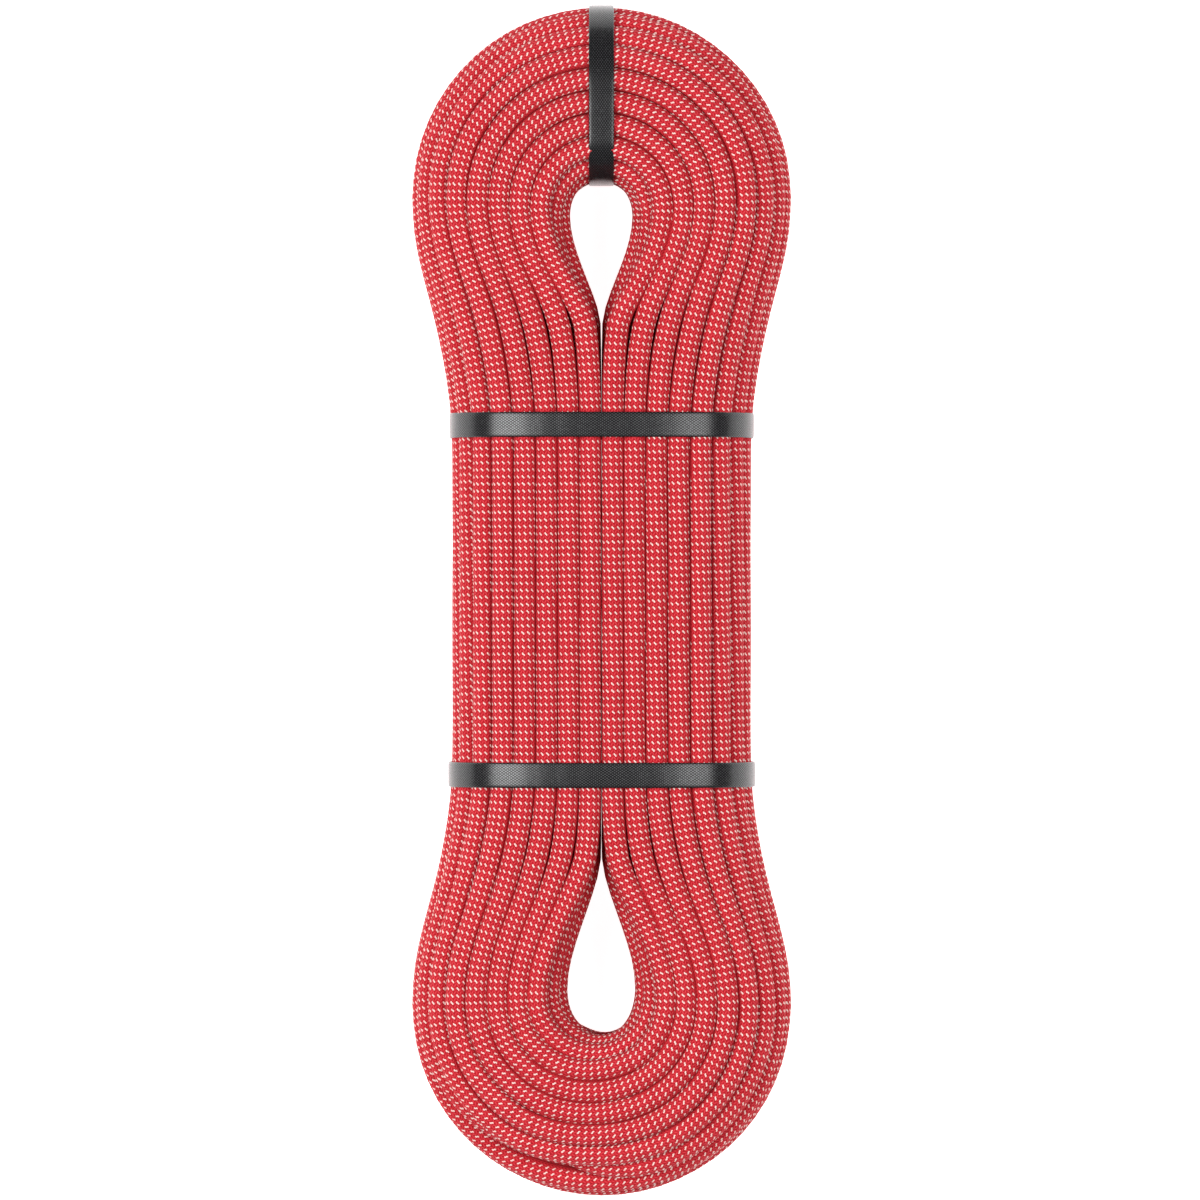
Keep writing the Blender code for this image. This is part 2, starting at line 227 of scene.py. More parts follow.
def quarter_rays(eye, crown_swell):
    """Inner and outer points, share of the eye's rounding and swell, from mid leg to mid crown."""
    leg = FLARE_START_Y * np.arange(LEG_STATIONS) / LEG_STATIONS
    neck_length = eye["tip"] - FLARE_START_Y
    neck = FLARE_START_Y + neck_length * np.arange(NECK_STATIONS) / NECK_STATIONS
    straight = np.concatenate([leg, neck])
    widest_turn = math.acos(-EYE_SHAPE / (EYE_SHAPE + 2))
    flank = np.arange(FLANK_STATIONS) / FLANK_STATIONS
    crown = np.arange(CROWN_STATIONS + 1) / CROWN_STATIONS
    flank_turn = 2 * np.arcsin(np.sqrt(flank) * math.sin(widest_turn / 2))
    turn = np.concatenate([flank_turn, widest_turn + (math.pi - widest_turn) * crown])
    inner = np.concatenate([np.stack([0 * straight, straight], axis=1), eye_points(eye, turn)])
    side_y = np.concatenate([straight, eye["tip"] + (LOBE_CENTRE_Y - eye["tip"]) * flank])
    side = np.stack([outline_half_width(side_y), side_y], axis=1)
    angle = math.pi / 2 * crown
    top = np.stack([np.cos(angle), np.sin(angle)], axis=1) * LOBE_RADIUS + (0.0, LOBE_CENTRE_Y)
    eye_share = np.concatenate([0 * straight, np.sin(turn / 2)])
    swell = ease((side_y - FLARE_START_Y - SWELL_START) / SWELL_LENGTH)
    crown_share = 1 + (crown_swell - 1) * ease((crown - CROWN_SWELL_START) / CROWN_SWELL_LENGTH)
    return inner, np.concatenate([side, top]), eye_share, np.concatenate([swell, crown_share])


def closed_rays():
    """Rays all the way round: up the left leg from its middle, and down the right one."""
    parts = []
    for eye, crown_swell, signs in ((UPPER_EYE, 0.0, (-1, 1)), (LOWER_EYE, 1.0, (1, -1))):
        inner, outer, eye_share, swell = quarter_rays(eye, crown_swell)
        parts.append((inner * signs, outer * signs, eye_share, swell))
        signs = (-signs[0], signs[1])
        back = slice(-2, 0, -1)
        parts.append(((inner * signs)[back], (outer * signs)[back], eye_share[back], swell[back]))
    return [np.concatenate(columns) for columns in zip(*parts)]


class Bundle:
    """The cross-section at each station, in rope diameters: across from the inner edge, and up."""

    def __init__(self):
        self.inner, self.outer, self.eye_share, self.swell = closed_rays()
        self.count = len(self.inner)
        span = self.outer - self.inner
        self.width = np.linalg.norm(span, axis=1)
        ray = span / self.width[:, None]
        self.lean_inner, self.lean_outer = [self.lean(ray, edge) for edge in (self.inner, self.outer)]
        self.reach = self.width * (self.lean_inner + self.lean_outer) / 2 / ROPE_DIAMETER
        self.z_scale = 1 + WAIST_SWELL + (LOBE_SWELL - WAIST_SWELL) * self.swell

    @staticmethod
    def lean(ray, edge):
        """Sine of the angle between each ray and the strands along this edge."""
        along = normalised(np.roll(edge, -1, axis=0) - np.roll(edge, 1, axis=0))
        return np.abs(ray[:, 0] * along[:, 1] - ray[:, 1] * along[:, 0])

    def fraction(self, across):
        """Where along the ray a strand lies that is this far across the leaning strands inside it."""
        a = (self.lean_outer - self.lean_inner) / 2
        b = self.lean_inner
        c = across * ROPE_DIAMETER / self.width
        return 2 * c / (b + np.sqrt(np.maximum(b * b + 4 * a * c, 1e-9)))

    def points(self, across, up):
        share = self.fraction(across)[..., None]
        flat = self.inner + (self.outer - self.inner) * share
        fall = 1 - CROWNING * (across / self.reach) ** 2
        return np.concatenate([flat, (MIDDLE_Z + up * fall * ROPE_DIAMETER)[..., None]], axis=-1)

    def side_inset(self, up):
        level = np.minimum(np.abs(up / self.z_scale) / SIDE_HEIGHT, 0.9999)
        return SIDE_REACH * (1 - (1 - level ** SIDE_POWER) ** (1 / SIDE_POWER))

    def eye_inset(self, up):
        return EYE_ROUNDING * self.eye_share * np.abs(up / self.z_scale / OUTER_LEVEL) ** EYE_POWER

    def nearness(self, across, up):
        """How near a strand lies to the outer surface: 0 inside the bundle and 1 at its edge."""
        wide = np.clip((across - self.reach + 0.5 + SIDE_REACH) / SIDE_REACH, 0.0, None)
        high = np.abs(up / self.z_scale) / SIDE_HEIGHT
        return ease((wide ** SIDE_POWER + high ** SIDE_POWER - SURFACE_LEVEL) / SURFACE_DEPTH)

    def confine(self, across, up):
        """Moves strands that lie outside the rounded cross-section back to its edge, square to it."""
        level = np.clip(up / self.z_scale, -OUTER_LEVEL, OUTER_LEVEL)
        start = self.reach - 0.5 - SIDE_REACH
        wide = (across - start) / SIDE_REACH
        high = np.abs(level) / SIDE_HEIGHT
        for step in range(2):
            excess = np.clip(wide, 0.0, None) ** SIDE_POWER + high ** SIDE_POWER - 1
            wide_slope = SIDE_POWER * np.clip(wide, 0.0, None) ** (SIDE_POWER - 1)
            high_slope = SIDE_POWER * high ** (SIDE_POWER - 1)
            move = np.clip(excess, 0.0, None) / (wide_slope ** 2 + high_slope ** 2 + 1e-9)
            wide = wide - move * wide_slope
            high = high - move * high_slope
        up = np.sign(level) * high * SIDE_HEIGHT * self.z_scale
        return np.maximum(start + wide * SIDE_REACH, 0.5 + self.eye_inset(up)), up


# The winding


def winding_order():
    """Places (row, number from the middle) in the order in which the rope fills them.

    First come the columns beside the eyes, then the front row, then the rest row by row to the back.
    """
    order = []
    for number in reversed(range(INNER_COLUMNS)):
        column = [(row, number) for row in range(LAYER_COUNT - 1)]
        order += column[::-1] if number % 2 else column
    order += [(LAYER_COUNT - 1, number) for number in range(ROW_STRANDS[-1])]
    for row in reversed(range(LAYER_COUNT - 1)):
        outer = range(INNER_COLUMNS, ROW_STRANDS[row])
        order += [(row, number) for number in (outer if row % 2 else reversed(outer))]
    return order


def place_of(bundle, row, number):
    level = (row - (LAYER_COUNT - 1) / 2) * LAYER_PITCH
    up = level * bundle.z_scale
    face_row = row in (0, LAYER_COUNT - 1)
    inset = bundle.side_inset(up) * (FACE_ROW_INSET if face_row else 1.0)
    first = 0.5 if row % 2 or face_row else 1.0
    last = bundle.reach - 0.5 - inset
    across = first + (last - first) * number / (ROW_STRANDS[row] - 1)
    return np.stack([across, up], axis=-1)


def wound_targets(bundle):
    """Where each turn lies if it keeps to its place and steps over to the next in the lower crown."""
    order = winding_order()
    places = np.array([place_of(bundle, *cell) for cell in order])
    following = np.roll(places, -1, axis=0)
    lower = np.arange(bundle.count) - bundle.count * 3 / 4
    step = ease(lower / (2 * CROWN_STATIONS + FLANK_STATIONS) + 0.5)[:, None]
    return places + (following - places) * step


def wander(turns, stations, rng):
    """A smooth random sideways drift along the whole rope."""
    knots = rng.normal(size=(turns * WANDER_PER_TURN, 2))
    at = np.arange(turns * stations) * WANDER_PER_TURN / stations
    index = at.astype(int)
    share = (at - index)[:, None]
    points = [np.roll(knots, shift, axis=0)[index] for shift in (1, 0, -1, -2)]
    weights = [(1 - share) ** 3, 3 * share ** 3 - 6 * share ** 2 + 4,
               -3 * share ** 3 + 3 * share ** 2 + 3 * share + 1, share ** 3]
    drift = sum(point * weight for point, weight in zip(points, weights)) / 6
    return drift.reshape(turns, stations, 2) * (WANDER, WANDER * WANDER_UP_SHARE)


def smoothed(spots):
    """Each station moves towards the mean of those before and after it along the rope."""
    flat = spots.reshape(-1, 2)
    mean = (np.roll(flat, 1, axis=0) + np.roll(flat, -1, axis=0)) / 2
    return (flat + (mean - flat) * SMOOTHING).reshape(spots.shape)


def pushed_apart(spots, bundle):
    """Strands that lie closer than their spacing move away from each other."""
    gap = spots[:, None] - spots[None]
    distance = np.sqrt((gap ** 2).sum(-1)) + 1e-9
    nearness = bundle.nearness(*np.moveaxis(spots, -1, 0))
    spacing = SPACING_INSIDE + (SPACING_OUTSIDE - SPACING_INSIDE) * nearness
    overlap = np.clip((spacing[:, None] + spacing[None]) / 2 - distance, 0.0, None)
    overlap[distance < 1e-6] = 0.0
    return spots + (gap * (overlap / distance)[..., None]).sum(1) * PUSH


def settle(bundle):
    """Relaxes all turns at once, station by station, into places (across, up) in diameters."""
    targets = wound_targets(bundle)
    turns, stations = targets.shape[:2]
    targets = targets + wander(turns, stations, np.random.default_rng(WANDER_SEED))
    spots = targets.copy()
    slot = pinned_ends(bundle, turns)
    for round_number in range(SETTLING_ROUNDS):
        spots += (targets - spots) * PULL
        spots[..., 1] += np.sign(spots[..., 1]) * FACE_PULL
        spots = targets + smoothed(spots - targets)
        spots = pushed_apart(spots, bundle)
        across, up = bundle.confine(spots[..., 0], spots[..., 1])
        spots = np.stack([across, up], axis=-1)
        for (turn, station), place in slot.items():
            spots[turn, station] = place
    return smoothed(smoothed(spots))


def pinned_ends(bundle, turns):
    """Both ends of the rope lie straight in the slot in the back."""
    place = (-END_X / ROPE_DIAMETER, (END_Z - MIDDLE_Z) / ROPE_DIAMETER)
    pins = {}
    for station in range(-2, 3):
        turn = 0 if station >= 0 else turns - 1
        pins[turn, station % bundle.count] = place
    return pins


def rounded_necks(points, across, bundle):
    """Takes the corner out of the outer strands where the inner ones begin to part round an eye."""
    quarter = bundle.count // 4
    from_leg = quarter - np.abs(np.arange(len(points)) % (2 * quarter) - quarter)
    nearby = 1 - ease(np.abs(from_leg - LEG_STATIONS - NECK_STATIONS) / NECK_REACH)
    share = (SMOOTHING * nearby * ease(across / NECK_FULL_AT))[:, None]
    for round_number in range(NECK_ROUNDS):
        mean = (np.roll(points, 1, axis=0) + np.roll(points, -1, axis=0)) / 2
        points = points + (mean - points) * share
    return points


def rope_path(bundle):
    """Centreline points of the whole rope, from one tip to the other."""
    spots = settle(bundle)
    points = bundle.points(spots[..., 0], spots[..., 1]).reshape(-1, 3)
    points = rounded_necks(points, spots[..., 0].ravel(), bundle)
    first_tip = (END_X, TIP_Y, END_Z)
    last_tip = (END_X, -TIP_Y, END_Z)
    return np.concatenate([[first_tip], points[1:], [last_tip]])


# Rope mesh. Columns run along the rope, and a fleck lies wherever a column meets a row.


def round_angles(distance):
    """Angle of each column of flecks at each distance along the rope."""
    return (COLUMN_DRIFT * distance)[:, None] + 2 * math.pi * np.arange(FLECK_COLUMNS) / FLECK_COLUMNS


def path_frames(path):
    """Direction, side and upper direction at each point of a path that never stands upright."""
    along = normalised(np.gradient(path, axis=0))
    side = normalised(np.cross((0.0, 0.0, 1.0), along))
    return along, side, np.cross(along, side)


def distances(path):
    steps = np.linalg.norm(np.diff(path, axis=0), axis=1)
    return np.concatenate([[0.0], np.cumsum(steps)])


def resampled(at, distance, vectors):
    """Vectors given along a path by distance, worked out for other distances."""
    return np.stack([np.interp(at, distance, line) for line in vectors.T], axis=1)


def mesh_object(name, points, faces, material, uvs=None):
    mesh = bpy.data.meshes.new(name)
    mesh.from_pydata(points, [], faces)
    if uvs is not None:
        layer = mesh.uv_layers.new(name="weave")
        layer.uv.foreach_set("vector", np.asarray(uvs, dtype=np.float32).ravel())
    mesh.materials.append(material)
    mesh.shade_smooth()
    made = bpy.data.objects.new(name, mesh)
    bpy.context.scene.collection.objects.link(made)
    return made


def grid_faces(rows, columns):
    """Quads between neighbouring rings of a tube, and the row and column of each corner."""
    corner = np.arange(rows * columns).reshape(rows, columns)
    after = np.roll(corner, -1, axis=1)
    faces = np.stack([corner[:-1], after[:-1], after[1:], corner[1:]], axis=-1).reshape(-1, 4)
    row = np.repeat(np.arange(rows - 1), columns)[:, None] + (0, 0, 1, 1)
    column = np.tile(np.arange(columns), rows - 1)[:, None] + (0, 1, 1, 0)
    return faces, row, column


def build_rope(path, material):
    along, side, up = path_frames(path)
    distance = distances(path)
    angle = round_angles(distance)
    ring = side[:, None] * np.cos(angle)[..., None] + up[:, None] * np.sin(angle)[..., None]
    points = (path[:, None] + ring * ROPE_DIAMETER / 2).reshape(-1, 3)
    faces, row, column = grid_faces(len(path), FLECK_COLUMNS)
    uvs = np.stack([column, (distance / FLECK_ROW_LENGTH)[row]], axis=-1).reshape(-1, 2)
    last = (len(path) - 1) * FLECK_COLUMNS
    caps = [tuple(range(FLECK_COLUMNS))[::-1], tuple(range(last, last + FLECK_COLUMNS))]
    uvs = np.concatenate([uvs, np.zeros((2 * FLECK_COLUMNS, 2))])
    return mesh_object("rope_sheath", points.tolist(), faces.tolist() + caps, material, uvs)


# Flecks


def fleck_lattice(path):
    """Place, direction, turning direction and outward direction of every fleck on the rope."""
    distance = distances(path)
    rows = np.arange(FIRST_FLECK_ROW, int(distance[-1] / FLECK_ROW_LENGTH) - FIRST_FLECK_ROW)
    at = rows * FLECK_ROW_LENGTH
    directions = path_frames(path)
    centre, along, side, up = [resampled(at, distance, vectors) for vectors in (path, *directions)]
    angle = round_angles(at)
    cosine, sine = np.cos(angle)[..., None], np.sin(angle)[..., None]
    outward = side[:, None] * cosine + up[:, None] * sine
    turning = up[:, None] * cosine - side[:, None] * sine
    place = centre[:, None] + outward * ROPE_DIAMETER / 2
    along = np.broadcast_to(along[:, None], place.shape)
    return [vectors.reshape(-1, 3) for vectors in (place, along, turning, outward)]


def open_to_view(rope, place, along, turning, outward):
    """Which places on the sheath can be seen from somewhere outside the hank."""
    corners = [vertex.co for vertex in rope.data.vertices]
    tree = BVHTree.FromPolygons(corners, [polygon.vertices for polygon in rope.data.polygons])
    tilt = math.tan(math.radians(VIEW_TILT))
    rays = [normalised(outward + tilt * lean) for lean in (0 * along, turning, -turning, along, -along)]
    starts = (place + outward * VIEW_START).tolist()
    rays = [directions.tolist() for directions in rays]
    seen = [any(tree.ray_cast(start, directions[index])[0] is None for directions in rays)
            for index, start in enumerate(starts)]
    return np.array(seen)


def lens_points():
    """A fleck's outline and ridge: shares of its half length, half width and height."""
    turn = 2 * math.pi * np.arange(FLECK_RIM_POINTS) / FLECK_RIM_POINTS
    rim = np.stack([np.cos(turn), np.sin(turn), 0 * turn], axis=1)
    return np.concatenate([rim, [(FLECK_RIDGE, 0.0, 1.0), (-FLECK_RIDGE, 0.0, 1.0)]])


def lens_faces():
    """Each side of the rim with the nearer end of the ridge, and the two faces beside the ridge."""
    front, back = FLECK_RIM_POINTS, FLECK_RIM_POINTS + 1
    quarter = FLECK_RIM_POINTS // 4
    faces = []
    for point in range(FLECK_RIM_POINTS):
        middle = (point + 0.5) % FLECK_RIM_POINTS
        near = front if middle < quarter or middle > 3 * quarter else back
        faces.append((point, (point + 1) % FLECK_RIM_POINTS, near))
    return faces + [(quarter, back, front), (3 * quarter, front, back)]


def build_flecks(number, place, along, turning, outward, material):
    tilt = math.radians(FLECK_TILT)
    long_way = along * math.cos(tilt) - turning * math.sin(tilt)
    wide_way = along * math.sin(tilt) + turning * math.cos(tilt)
    lens = lens_points() * (FLECK_LENGTH / 2, FLECK_WIDTH / 2, 1.0)
    flat = long_way[:, None] * lens[:, 0, None] + wide_way[:, None] * lens[:, 1, None]
    off_column = np.abs((flat * turning[:, None]).sum(-1))
    falling_away = off_column * math.tan(math.pi / FLECK_COLUMNS)
    height = np.where(lens[:, 2] > 0, FLECK_HEIGHT, -FLECK_SINK) - falling_away
    points = (place[:, None] + flat + outward[:, None] * height[..., None]).reshape(-1, 3)
    first = np.arange(len(place))[:, None, None] * len(lens)
    faces = (np.array(lens_faces())[None] + first).reshape(-1, 3)
    return mesh_object(f"cream_flecks_{number}", points.tolist(), faces.tolist(), material)


def fleck_pieces(path, rope, material):
    lattice = fleck_lattice(path)
    seen = open_to_view(rope, *lattice)
    groups = [np.array_split(vectors[seen], FLECK_PIECES) for vectors in lattice]
    return [build_flecks(number, *vectors, material) for number, vectors in enumerate(zip(*groups), 1)]


# Straps, pulled tight round the strands that they hold


def turn_of(first, second, third):
    """Above zero where the way from the first point to the third turns left at the second."""
    return ((second[0] - first[0]) * (third[1] - first[1])
            - (second[1] - first[1]) * (third[0] - first[0]))


def convex_hull(points):
    """Andrew's monotone chain, anticlockwise."""
    def chain(ordered):
        kept = []
        for point in ordered:
            while len(kept) > 1 and turn_of(kept[-2], kept[-1], point) <= 0:
                kept.pop()
            kept.append(point)
        return kept[:-1]
    ordered = sorted(map(tuple, points))
    return chain(ordered) + chain(ordered[::-1])


def taut_loop(centres, radius):
    """Points and outward directions of a band pulled tight round strands with these centres."""
    hull = convex_hull(centres)
    points, normals = [], []
    for before, corner, after in zip(hull[-1:] + hull[:-1], hull, hull[1:] + hull[:1]):
        start = math.atan2(before[0] - corner[0], corner[1] - before[1])
        turn = math.atan2(corner[0] - after[0], after[1] - corner[1]) - start
        turn = (turn + math.pi) % (2 * math.pi) - math.pi
        steps = max(1, round(abs(turn) / STRAP_TURN_STEP))
        for angle in start + turn * np.arange(steps + 1) / steps:
            normals.append((math.cos(angle), math.sin(angle)))
            points.append(np.add(corner, radius * np.array(normals[-1])))
    return np.array(points), np.array(normals)


def evened(lines, reach):
    """Mean of each value and this many on either side of it."""
    window = np.ones(2 * reach + 1) / (2 * reach + 1)
    padded = [np.pad(line, reach, "reflect", reflect_type="odd") for line in lines.T]
    return np.stack([np.convolve(line, window, "valid") for line in padded], axis=1)


def strap_stations(centres, radius, near):
    """Evenly spaced stations from one lapped end to the other: point, outward direction, distance.

    The ends lie over each other in the middle of the back. The strap dips a little between strands.
    """
    points, normals = taut_loop(centres, radius)
    loop = distances(np.concatenate([points, points[:1]]))
    around = loop[-1]
    back = points[:, 1] < points[:, 1].min() + BACK_FLATNESS
    middle = points[back, 0].mean()
    left = np.flatnonzero(back & (points[:, 0] < middle))[-1]
    start = loop[left] + middle - points[left, 0] - LAP_LENGTH / 2
    count = round((around + LAP_LENGTH) / STRAP_STEP)
    at = start + (around + LAP_LENGTH) * np.arange(count + 1) / count
    closed = [np.concatenate([lines, lines[:1]]) for lines in (points, normals)]
    spots, outward = [evened(resampled(at % around, loop, lines), STRAP_EVENING) for lines in closed]
    outward = normalised(outward)
    gap = np.linalg.norm(spots[:, None] - near[None], axis=-1).min(axis=1) - radius
    dip = np.clip(gap, 0.0, STRAP_DIP / STRAP_DIP_SHARE) * STRAP_DIP_SHARE
    top_layer = ease((at - start - around + LAP_RISE) / LAP_RISE)
    rise = STRAP_THICKNESS * (0.5 + LAP_LIFT * top_layer)
    rise -= evened(dip[:, None], STRAP_DIP_EVENING)[:, 0]
    return spots + outward * rise[:, None], outward, at - start


def signed_power(values, power):
    return np.sign(values) * np.abs(values) ** power


def build_strap(name, stations, to_space, material):
    """to_space turns a place in the strap's plane, its z and the way across the strap into X, Y, Z."""
    spots, outward, along = stations
    turn = 2 * math.pi * np.arange(STRAP_SIDES) / STRAP_SIDES
    across_power, thick_power = STRAP_EDGE_POWERS
    across = signed_power(np.cos(turn), across_power) * STRAP_WIDTH / 2
    thick = signed_power(np.sin(turn), thick_power) * STRAP_THICKNESS / 2
    section = spots[:, None] + outward[:, None] * thick[:, None]
    flat_across = np.broadcast_to(across, section.shape[:2])
    placed = to_space(section[..., 0], section[..., 1], flat_across)
    points = np.stack(placed, axis=-1).reshape(-1, 3)
    faces, row, column = grid_faces(len(spots), STRAP_SIDES)
    uvs = np.stack([along[row], np.append(across, across[0])[column]], axis=-1).reshape(-1, 2)
    last = (len(spots) - 1) * STRAP_SIDES
    caps = [tuple(range(STRAP_SIDES))[::-1], tuple(range(last, last + STRAP_SIDES))]
    uvs = np.concatenate([uvs / STRAP_DIAMOND, np.zeros((2 * STRAP_SIDES, 2))])
    return mesh_object(name, points.tolist(), faces.tolist() + caps, material, uvs)


def waist_strap(name, path, rest_y, slid_y, material):
    """Round all the strands that the strap passes over as it slides."""
    y = path[:, 1]
    low, high = sorted((rest_y, slid_y))
    passed = path[(y > low - STRAP_WIDTH) & (y < high + STRAP_WIDTH)][:, [0, 2]]
    near = path[np.abs(y - rest_y) < STRAP_WIDTH][:, [0, 2]]
    stations = strap_stations(passed, ROPE_DIAMETER / 2 + STRAP_CLEARANCE, near)
    return build_strap(name, stations, lambda x, z, across: (x, rest_y + across, z), material)


def crown_strap(name, path, pivot_y, swing, material):
    """Round the strands that it meets as it swings, turned about the pivot into its own plane."""
    x, y = path[:, 0], path[:, 1] - pivot_y
    reach = np.hypot(x, y)
    angle = np.abs(np.arctan2(x, y))
    edge = np.arcsin(np.clip(STRAP_WIDTH / 2 / reach, 0.0, 1.0))
    passed = angle < swing + edge
    outer = reach * np.cos(np.maximum(angle - swing, 0.0))
    inner = reach * np.cos(np.minimum(angle + swing, edge))
    centres = [np.stack([line[passed], path[passed, 2]], axis=1) for line in (outer, inner)]
    near = np.stack([reach[angle < edge], path[angle < edge, 2]], axis=1)
    stations = strap_stations(np.concatenate(centres), ROPE_DIAMETER / 2 + STRAP_CLEARANCE, near)
    return build_strap(name, stations, lambda y, z, across: (across, pivot_y + y, z), material)


# Rope ends: a shrunk sleeve and a melted tip


def turned_piece(name, route, profile, ripple, material):
    """A piece turned about the rope's end. The profile is pairs of distance from the tip and radius."""
    at, radius = np.array(profile).T
    distance = distances(route)
    centre = resampled(at, distance, route)
    centre += normalised(route[1] - route[0]) * np.minimum(at, 0.0)[:, None]
    along, side, up = [vectors[0] for vectors in path_frames(route)]
    turn = 2 * math.pi * np.arange(END_SIDES) / END_SIDES
    ring = side * np.cos(turn)[:, None] + up * np.sin(turn)[:, None]
    size = radius[:, None] + ripple(turn[None], at[:, None])
    points = (centre[:, None] + ring * size[..., None]).reshape(-1, 3)
    faces, row, column = grid_faces(len(at), END_SIDES)
    uvs = np.stack([column / END_SIDES, at[row] / SLEEVE_LENGTH], axis=-1).reshape(-1, 2)
    return mesh_object(name, points.tolist(), faces.tolist(), material, uvs)


def end_sleeve(name, route, material):
    lip = SLEEVE_WALL
    inside, outside = ROPE_DIAMETER / 2 + SLEEVE_SLACK, ROPE_DIAMETER / 2 + lip
    profile = [(SLEEVE_SKIN_START, inside), (0.0002, inside + lip / 3)]
    profile += [(0.0, inside + lip * 0.7), (0.0003, outside)]
    skin = np.linspace(SLEEVE_SKIN_START, SLEEVE_LENGTH - SLEEVE_SKIN_END, SLEEVE_RINGS)
    profile += [(at, outside) for at in skin]
    profile += [(SLEEVE_LENGTH - SLEEVE_TAPER, outside - lip * 0.3), (SLEEVE_LENGTH, inside)]

    def braid_beneath(turn, at):
        on_skin = ease((at - SLEEVE_TAPER) / 0.002) * ease((SLEEVE_LENGTH - SLEEVE_TAPER - at) / 0.002)
        crease = np.cos(2 * math.pi * at / SLEEVE_CREASE_PITCH + 2 * np.sin(turn)) ** 4
        weave = np.cos(FLECK_COLUMNS * turn) * np.cos(2 * math.pi * at / FLECK_ROW_LENGTH)
        return on_skin * (SLEEVE_WEAVE_HEIGHT * weave - SLEEVE_CREASE_DEPTH * crease)

    return turned_piece(name, route, profile, braid_beneath, material)


def melted_tip(name, route, material):
    """A short cylinder with a flattened dome."""
    profile = [(TIP_LENGTH, TIP_RADIUS), (TIP_DOME_START, TIP_RADIUS)]
    for bend in np.linspace(0.15, 1.5, TIP_DOME_RINGS):
        at = TIP_DOME_START - TIP_DOME_HEIGHT * math.sin(bend)
        profile.append((at, TIP_RADIUS * math.cos(bend) ** 0.6))

    def set_plastic(turn, at):
        lumps = np.sin(3 * turn + 900 * at) + 0.6 * np.sin(7 * turn + 1.3) * np.cos(2100 * at)
        return TIP_LUMP_HEIGHT * lumps * ease((TIP_LENGTH - at) / TIP_LENGTH)

    return turned_piece(name, route, profile, set_plastic, material)


# Materials


class Graph:
    """Short calls for the nodes of a material."""

    def __init__(self, material):
        self.tree = material.node_tree
        self.shader = self.tree.nodes["Principled BSDF"]

    def node(self, kind, **settings):
        made = self.tree.nodes.new(kind)
        for name, value in settings.items():
            setattr(made, name, value)
        return made

    def feed(self, socket, value):
        if isinstance(value, bpy.types.NodeSocket):
            self.tree.links.new(value, socket)
        else:
            socket.default_value = value

    def math(self, operation, *values, clamp=False):
        made = self.node("ShaderNodeMath", operation=operation, use_clamp=clamp)
        for socket, value in zip(made.inputs, values):
            self.feed(socket, value)
        return made.outputs[0]

    def times(self, first, second):
        return self.math("MULTIPLY", first, second)

    def plus(self, first, second):
        return self.math("ADD", first, second)

    def mix(self, share, first, second):
        made = self.node("ShaderNodeMix", data_type="FLOAT")
        for socket, value in zip(made.inputs[:4], (share, None, first, second)):
            if value is not None:
                self.feed(socket, value)
        return made.outputs[0]

    def wave(self, value, periods):
        """Cosine of the value, this many periods for each unit."""
        return self.math("COSINE", self.times(value, 2 * math.pi * periods))

    def weave_place(self):
        split = self.node("ShaderNodeSeparateXYZ")
        self.feed(split.inputs[0], self.node("ShaderNodeUVMap", uv_map="weave").outputs[0])
        return split.outputs[0], split.outputs[1]

    def noise(self, scale, detail=2.0):
        """Even noise through the object's space, from 0 to 1."""
        made = self.node("ShaderNodeTexNoise")
        self.feed(made.inputs["Vector"], self.node("ShaderNodeTexCoord").outputs["Object"])
        made.inputs["Scale"].default_value = scale
        made.inputs["Detail"].default_value = detail
        return made.outputs[0]

    def colours(self, value, *stops):
        ramp = self.node("ShaderNodeValToRGB")
        self.feed(ramp.inputs[0], value)
        while len(ramp.color_ramp.elements) < len(stops):
            ramp.color_ramp.elements.new(0.5)
        for element, (position, colour) in zip(ramp.color_ramp.elements, stops):
            element.position = position
            element.color = (*colour, 1.0)
        return ramp.outputs[0]

    def bump(self, height, distance, strength=1.0):
        made = self.node("ShaderNodeBump")
        made.inputs["Strength"].default_value = strength
        made.inputs["Distance"].default_value = distance
        self.feed(made.inputs["Height"], height)
        self.feed(self.shader.inputs["Normal"], made.outputs[0])

    def set(self, **values):
        for name, value in values.items():
            self.feed(self.shader.inputs[name.replace("_", " ")], value)


def new_material(name, colour, roughness):
    made = bpy.data.materials.new(name)
    made.use_nodes = True
    shader = made.node_tree.nodes["Principled BSDF"]
    shader.inputs["Base Color"].default_value = (*colour, 1.0)
    shader.inputs["Roughness"].default_value = roughness
    return made


